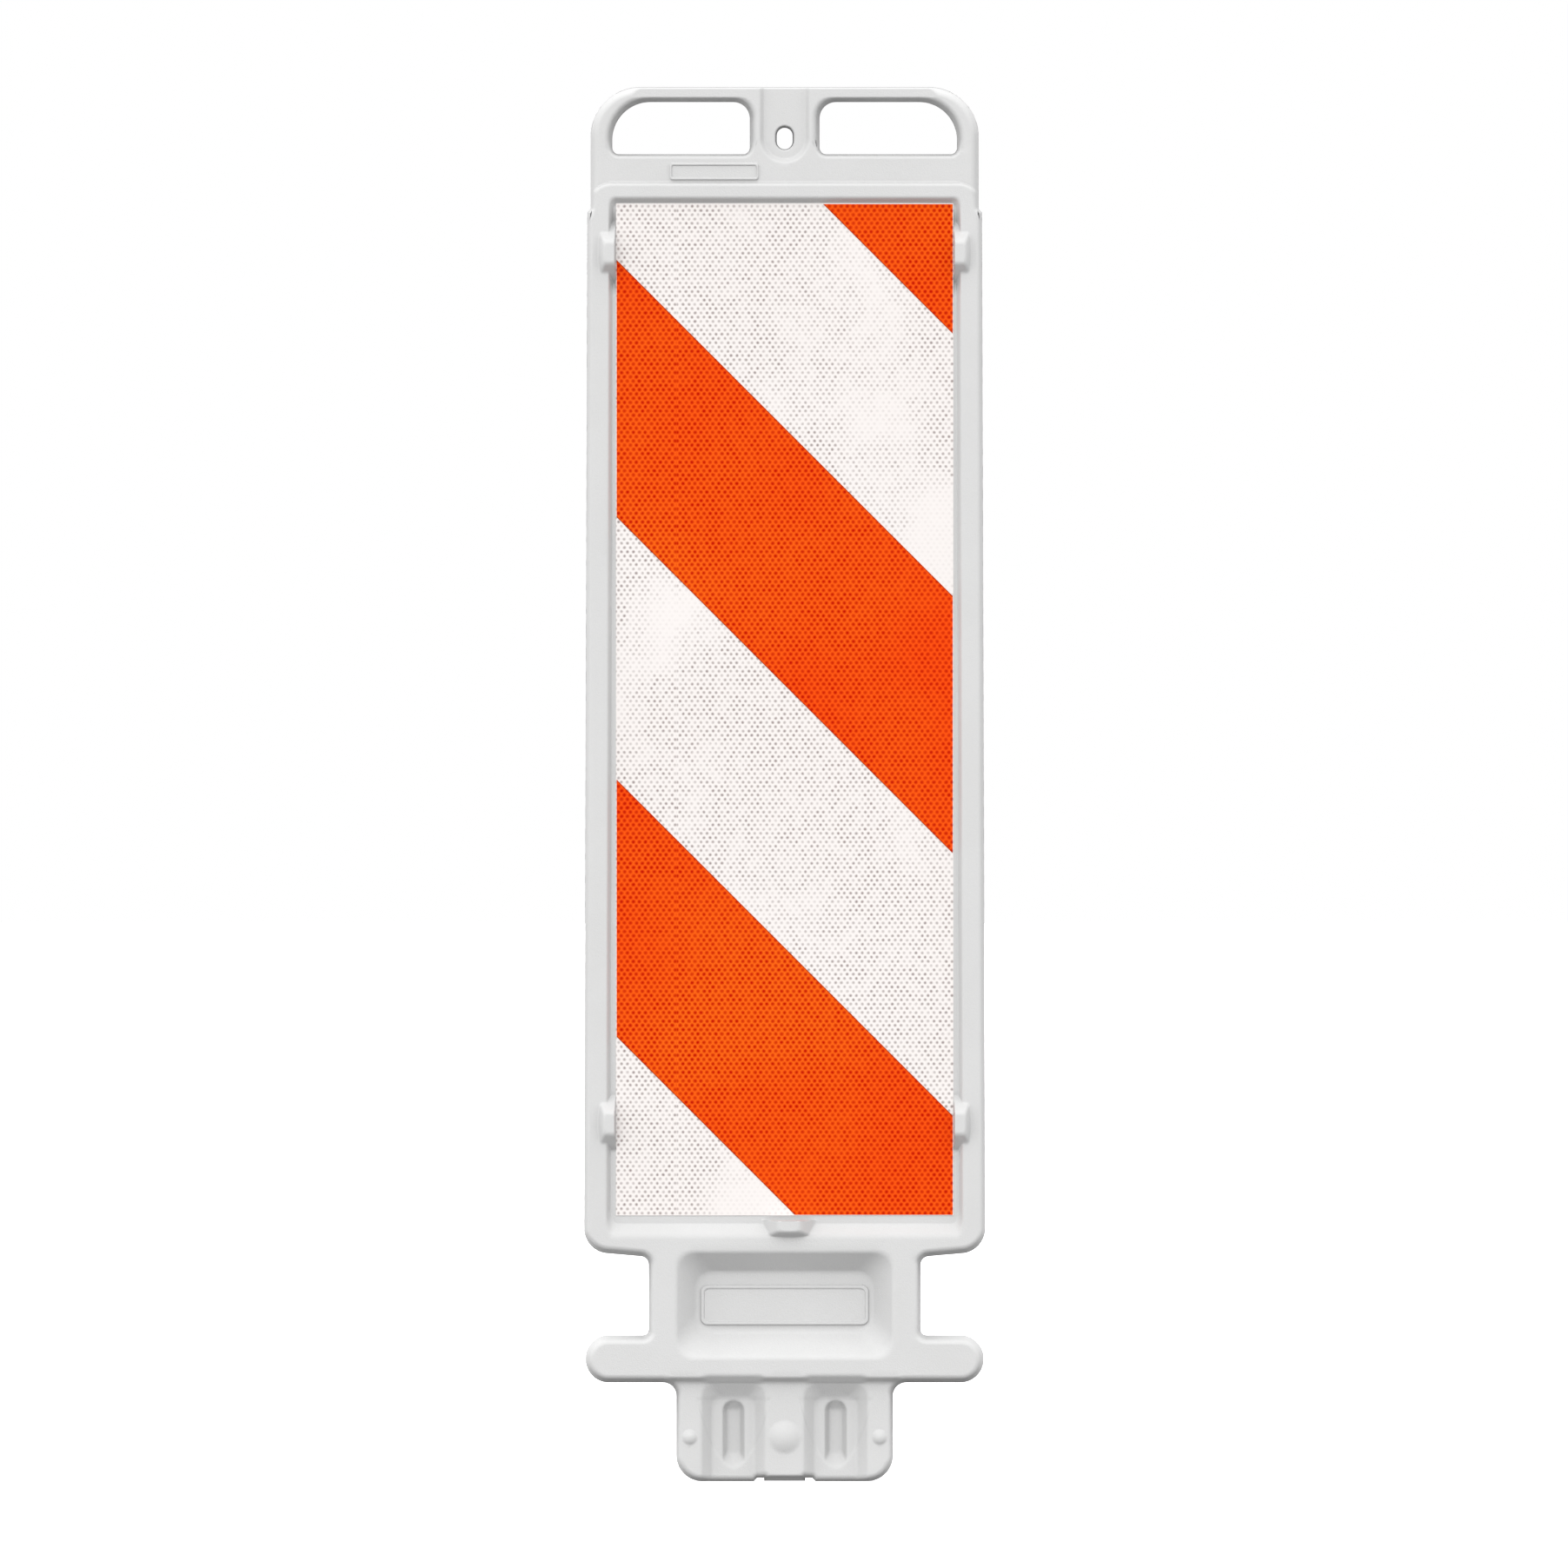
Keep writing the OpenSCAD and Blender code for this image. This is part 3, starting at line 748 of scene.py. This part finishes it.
def mapped(tree, value, low, high, to_low, to_high):
    """The value with low..high stretched to to_low..to_high, and kept between them."""
    node = add(tree, "ShaderNodeMapRange", From_Min=low, From_Max=high, To_Min=to_low, To_Max=to_high)
    tree.links.new(value, node.inputs["Value"])
    return node.outputs["Result"]


def mix_colour(tree, factor, a, b):
    """Colour a where the factor is 0, and b where it is 1."""
    node = tree.nodes.new("ShaderNodeMix")
    node.data_type = "RGBA"
    tree.links.new(factor, node.inputs["Factor"])
    for name, value in (("A", a), ("B", b)):
        socket = [s for s in node.inputs if s.name == name and s.type == "RGBA"][0]
        if isinstance(value, tuple):
            socket.default_value = (*value, 1)
        else:
            tree.links.new(value, socket)
    return [s for s in node.outputs if s.type == "RGBA"][0]


def bump(tree, height, strength, distance, normal=None):
    """Normal that the height, over the distance in metres, gives on top of another normal."""
    node = add(tree, "ShaderNodeBump", Strength=strength, Distance=distance)
    tree.links.new(height, node.inputs["Height"])
    if normal is not None:
        tree.links.new(normal, node.inputs["Normal"])
    return node.outputs["Normal"]


# Looks of the polyethylene: its colours, the scales of its grain, pebbles and unevenness, and the
# reach of the painted shade in its corners, in metres
PLASTIC = (0.700, 0.700, 0.697)
PLASTIC_PALE = (0.716, 0.716, 0.714)
PLASTIC_SPECK = (0.60, 0.60, 0.60)
GRAIN_SCALE = 1300
PEBBLE_SCALE = 420
UNEVEN_SCALE = 28
PAINTED_SHADE_REACH = 0.045


def moulding_material():
    """Matte white polyethylene: a fine blasted-mould grain over a soft unevenness, with painted shade
    that darkens the base colour in its corners."""
    material, tree, shader = new_material("white_polyethylene")
    where = tree.nodes.new("ShaderNodeTexCoord").outputs["Object"]
    grain = noise(tree, where, GRAIN_SCALE)
    pebble = noise(tree, where, PEBBLE_SCALE, 1.0)
    uneven = noise(tree, where, UNEVEN_SCALE)
    patches = mapped(tree, uneven, 0.35, 0.65, 0, 1)
    tint = mix_colour(tree, patches, PLASTIC, PLASTIC_PALE)
    speck = mix_colour(tree, mapped(tree, grain, 0.35, 0.65, 0, 0.10), tint, PLASTIC_SPECK)
    # Painted shade: ambient occlusion darkens the base colour in corners and recesses, where shade
    # falls.
    corner = add(tree, "ShaderNodeAmbientOcclusion", Distance=PAINTED_SHADE_REACH, only_local=True, samples=8)
    painted_shade = mapped(tree, corner.outputs["AO"], 0.35, 1.0, 0.58, 1)
    painted_shade_colour = mix_colour(tree, painted_shade, (0.0, 0.0, 0.0), speck)
    tree.links.new(painted_shade_colour, shader.inputs["Base Color"])
    tree.links.new(mapped(tree, grain, 0.3, 0.7, 0.50, 0.62), shader.inputs["Roughness"])
    soft = bump(tree, uneven, 0.15, 0.0012)
    medium = bump(tree, pebble, 0.14, 0.0003, soft)
    tree.links.new(bump(tree, grain, 0.85, 0.00016, medium), shader.inputs["Normal"])
    shader.inputs["Specular IOR Level"].default_value = 0.35
    return material


# Sheeting, in metres: the pitch of its cells, a count that keeps their numbers above 0, the seam
# beside which their rows are shifted, how far the rows waver, and the scales of the noises
CELL_PITCH_X = 0.0036
CELL_PITCH_Z = 0.00514
CELLS_BEFORE = 400
SEAM_X = -0.065
SEAM_SHIFT = 0.0011
WAVER = 0.0002
WAVER_SCALE = 260
CLOUD_SCALE = 8
EACH_SCALE = 210
DRIFT_SCALE = 5


def cell_distance(tree, x, z, offset):
    """Distance from the nearest centre of one of the two lattices that make the staggered cells."""
    parts = []
    for value, pitch in ((x, CELL_PITCH_X), (z, CELL_PITCH_Z)):
        count = math_node(tree, "MULTIPLY_ADD", value, 1 / pitch, CELLS_BEFORE + offset)
        cell = math_node(tree, "FRACT", count)
        off = math_node(tree, "MULTIPLY", math_node(tree, "SUBTRACT", cell, 0.5), pitch)
        parts.append(math_node(tree, "MULTIPLY", off, off))
    return math_node(tree, "SQRT", math_node(tree, "ADD", *parts))


def sheeting_material(name, base, other_base, dot, dot_r, cloud_low, each_low):
    """Prismatic reflective sheeting that drifts between two base colours: staggered cells with darker
    centres of the radius dot_r. The centres fade to the share cloud_low in patches and vary from one
    to the next down to the share each_low. Returns the material, its node tree, shader and colour."""
    material, tree, shader = new_material(name)
    where = tree.nodes.new("ShaderNodeTexCoord").outputs["Object"]
    split = tree.nodes.new("ShaderNodeSeparateXYZ")
    tree.links.new(where, split.inputs[0])
    x, z = split.outputs["X"], split.outputs["Z"]
    beside_seam = math_node(tree, "LESS_THAN", x, SEAM_X)
    shifted = math_node(tree, "MULTIPLY_ADD", beside_seam, SEAM_SHIFT, x)
    waver = mapped(tree, noise(tree, where, WAVER_SCALE, 0), 0.2, 0.8, -WAVER, WAVER)
    shifted = math_node(tree, "ADD", shifted, waver)
    lattices = [cell_distance(tree, shifted, z, offset) for offset in (0, 0.5)]
    d = math_node(tree, "MINIMUM", *lattices)
    spot = mapped(tree, d, dot_r * 0.45, dot_r * 1.55, 1, 0)
    cloud = mapped(tree, noise(tree, where, CLOUD_SCALE, 4.0, 0.6), 0.40, 0.52, cloud_low, 1)
    each = mapped(tree, noise(tree, where, EACH_SCALE, 0), 0.30, 0.70, each_low, 1)
    strength = math_node(tree, "MULTIPLY", math_node(tree, "MULTIPLY", spot, cloud), each)
    drift = mapped(tree, noise(tree, where, DRIFT_SCALE), 0.38, 0.62, 0, 1)
    colour = mix_colour(tree, strength, mix_colour(tree, drift, base, other_base), dot)
    tree.links.new(bump(tree, spot, 0.05, 0.0001), shader.inputs["Normal"])
    shader.inputs["Roughness"].default_value = 0.36
    return material, tree, shader, colour


def white_sheeting_material():
    """White sheeting with grey centres that show in patches."""
    material, tree, shader, colour = sheeting_material(
        "white_sheeting", base=(0.955, 0.910, 0.890), other_base=(0.940, 0.893, 0.870),
        dot=(0.35, 0.29, 0.28), dot_r=0.00080, cloud_low=0.15, each_low=0.45)
    tree.links.new(colour, shader.inputs["Base Color"])
    shader.inputs["Specular IOR Level"].default_value = 0.25
    return material


# Stripes, in metres: their pitch and height, the level at which one starts, a count that keeps their
# numbers above 0, and the width and colour of the painted shadow along their edges
STRIPE_PITCH = 0.313
STRIPE_H = 0.155
STRIPE_ORIGIN = SHEET_LOW[0] * MM + SHEET_LOW[2] * MM + 0.421
STRIPES_BEFORE = 10
EDGE_SHADOW_W = 0.0005
EDGE_SHADOW_COLOUR = (0.36, 0.03, 0.004)


def orange_film_material():
    """Transparent orange film over the cells, with a painted shadow, a darker line, along the film's
    edges.
    """
    material, tree, shader, colour = sheeting_material(
        "orange_film", base=(1.0, 0.140, 0.008), other_base=(1.0, 0.084, 0.006),
        dot=(0.56, 0.004, 0.0), dot_r=0.00108, cloud_low=0.88, each_low=0.75)
    where = tree.nodes.new("ShaderNodeTexCoord").outputs["Object"]
    split = tree.nodes.new("ShaderNodeSeparateXYZ")
    tree.links.new(where, split.inputs[0])
    face = math_node(tree, "SIGN", split.outputs["Y"])
    turned = math_node(tree, "MULTIPLY", split.outputs["X"], face)
    across = math_node(tree, "SUBTRACT", split.outputs["Z"], turned)
    along = math_node(tree, "DIVIDE", math_node(tree, "SUBTRACT", across, STRIPE_ORIGIN), STRIPE_PITCH)
    part = math_node(tree, "FRACT", math_node(tree, "ADD", along, STRIPES_BEFORE))
    phase = math_node(tree, "MULTIPLY", part, STRIPE_PITCH)
    middle = math_node(tree, "ABSOLUTE", math_node(tree, "SUBTRACT", phase, STRIPE_H / 2))
    # Painted shadow: a darker line along both edges of each stripe, standing in for the shade at the
    # film's edge.
    line = mapped(tree, middle, STRIPE_H / 2 - 2 * EDGE_SHADOW_W, STRIPE_H / 2 - EDGE_SHADOW_W, 0, 0.75)
    tree.links.new(mix_colour(tree, line, colour, EDGE_SHADOW_COLOUR), shader.inputs["Base Color"])
    shader.inputs["Specular IOR Level"].default_value = 0.10
    shader.inputs["Specular Tint"].default_value = (1.0, 0.45, 0.15, 1)
    return material


# ---------------------------------------------------------------- stage

# Key light: its strength, its spread in degrees, its direction and its distance
KEY_STRENGTH = 0.82
KEY_ANGLE = 40
KEY_TOWARD = Vector((-0.15, -0.80, 0.55))
KEY_DISTANCE = 4

# World's light: its level at the horizon, and its changes toward the top, the bottom and the right
SKY_LEVEL = 0.96
SKY_RISE = 0.46
SKY_FALL = 1.05
SKY_TO_RIGHT = -0.08

FLOOR_REACH = 60

# Camera: its place, and the width it sees at the panel, in metres; its sensor, in millimetres
CAMERA_ASIDE = -0.0004
CAMERA_DISTANCE = 15.0
CAMERA_HEIGHT = 0.4204
VIEW_WIDTH = 0.9455
SENSOR = 36


def key_light():
    """A broad soft light from the front, a little above and to the left."""
    light = bpy.data.lights.new("key", "SUN")
    light.energy = KEY_STRENGTH
    light.angle = math.radians(KEY_ANGLE)
    obj = bpy.data.objects.new("key", light)
    obj.location = KEY_TOWARD * KEY_DISTANCE
    obj.rotation_euler = KEY_TOWARD.to_track_quat("Z", "Y").to_euler()
    bpy.context.collection.objects.link(obj)


def pale_floor():
    """A matte floor, nearly as bright as the background."""
    mesh = bpy.data.meshes.new("floor")
    reach = FLOOR_REACH
    mesh.from_pydata([(-reach, -reach, 0), (reach, -reach, 0), (reach, reach, 0), (-reach, reach, 0)],
                     [], [(0, 1, 2, 3)])
    floor = bpy.data.objects.new("floor", mesh)
    bpy.context.collection.objects.link(floor)
    material, _, shader = new_material("pale_floor")
    shader.inputs["Base Color"].default_value = (0.93, 0.93, 0.93, 1)
    shader.inputs["Roughness"].default_value = 0.9
    shader.inputs["Specular IOR Level"].default_value = 0.0
    shader.inputs["Emission Color"].default_value = (1, 1, 1, 1)
    shader.inputs["Emission Strength"].default_value = 0.9
    mesh.materials.append(material)
    floor.visible_diffuse = False
    floor.visible_glossy = False


def studio_world():
    """A pale world that is brighter above and dark underneath, and plain white behind the panel."""
    world = bpy.data.worlds.new("studio")
    bpy.context.scene.world = world
    world.use_nodes = True
    tree = world.node_tree
    background = tree.nodes["Background"]
    coords = tree.nodes.new("ShaderNodeTexCoord").outputs["Generated"]
    split = tree.nodes.new("ShaderNodeSeparateXYZ")
    tree.links.new(coords, split.inputs[0])
    height_above = math_node(tree, "MAXIMUM", split.outputs["Z"], 0)
    height_below = math_node(tree, "MINIMUM", split.outputs["Z"], 0)
    above = math_node(tree, "MULTIPLY_ADD", height_above, SKY_RISE, SKY_LEVEL)
    below = math_node(tree, "MULTIPLY_ADD", height_below, SKY_FALL, above)
    light = math_node(tree, "MULTIPLY_ADD", split.outputs["X"], SKY_TO_RIGHT, below)
    camera_ray = tree.nodes.new("ShaderNodeLightPath").outputs["Is Camera Ray"]
    strength = math_node(tree, "MAXIMUM", light, camera_ray)
    background.inputs["Color"].default_value = (1, 1, 1, 1)
    tree.links.new(strength, background.inputs["Strength"])


def camera():
    """Straight in front of the panel, at the middle of its height, with a long lens."""
    data = bpy.data.cameras.new("camera")
    data.sensor_width = SENSOR
    data.lens = SENSOR * CAMERA_DISTANCE / VIEW_WIDTH
    data.clip_end = 500
    obj = bpy.data.objects.new("camera", data)
    obj.location = (CAMERA_ASIDE, -CAMERA_DISTANCE, CAMERA_HEIGHT)
    obj.rotation_euler = (math.pi / 2, 0, 0)
    bpy.context.collection.objects.link(obj)
    bpy.context.scene.camera = obj


# ---------------------------------------------------------------- the scene

camera()
pale_floor()
studio_world()
key_light()

panel = moulding()
panel.data.materials.append(moulding_material())
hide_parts("panel_body")
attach(panel, "root")

# The sheetings and stripes keep the CAD's shapes and take new materials.
white = white_sheeting_material()
orange = orange_film_material()
for name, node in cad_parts.items():
    if name == "panel_body":
        continue
    node.data.materials.clear()
    node.data.materials.append(white if name.endswith("sheeting") else orange)

bpy.context.scene.view_settings.view_transform = "Standard"
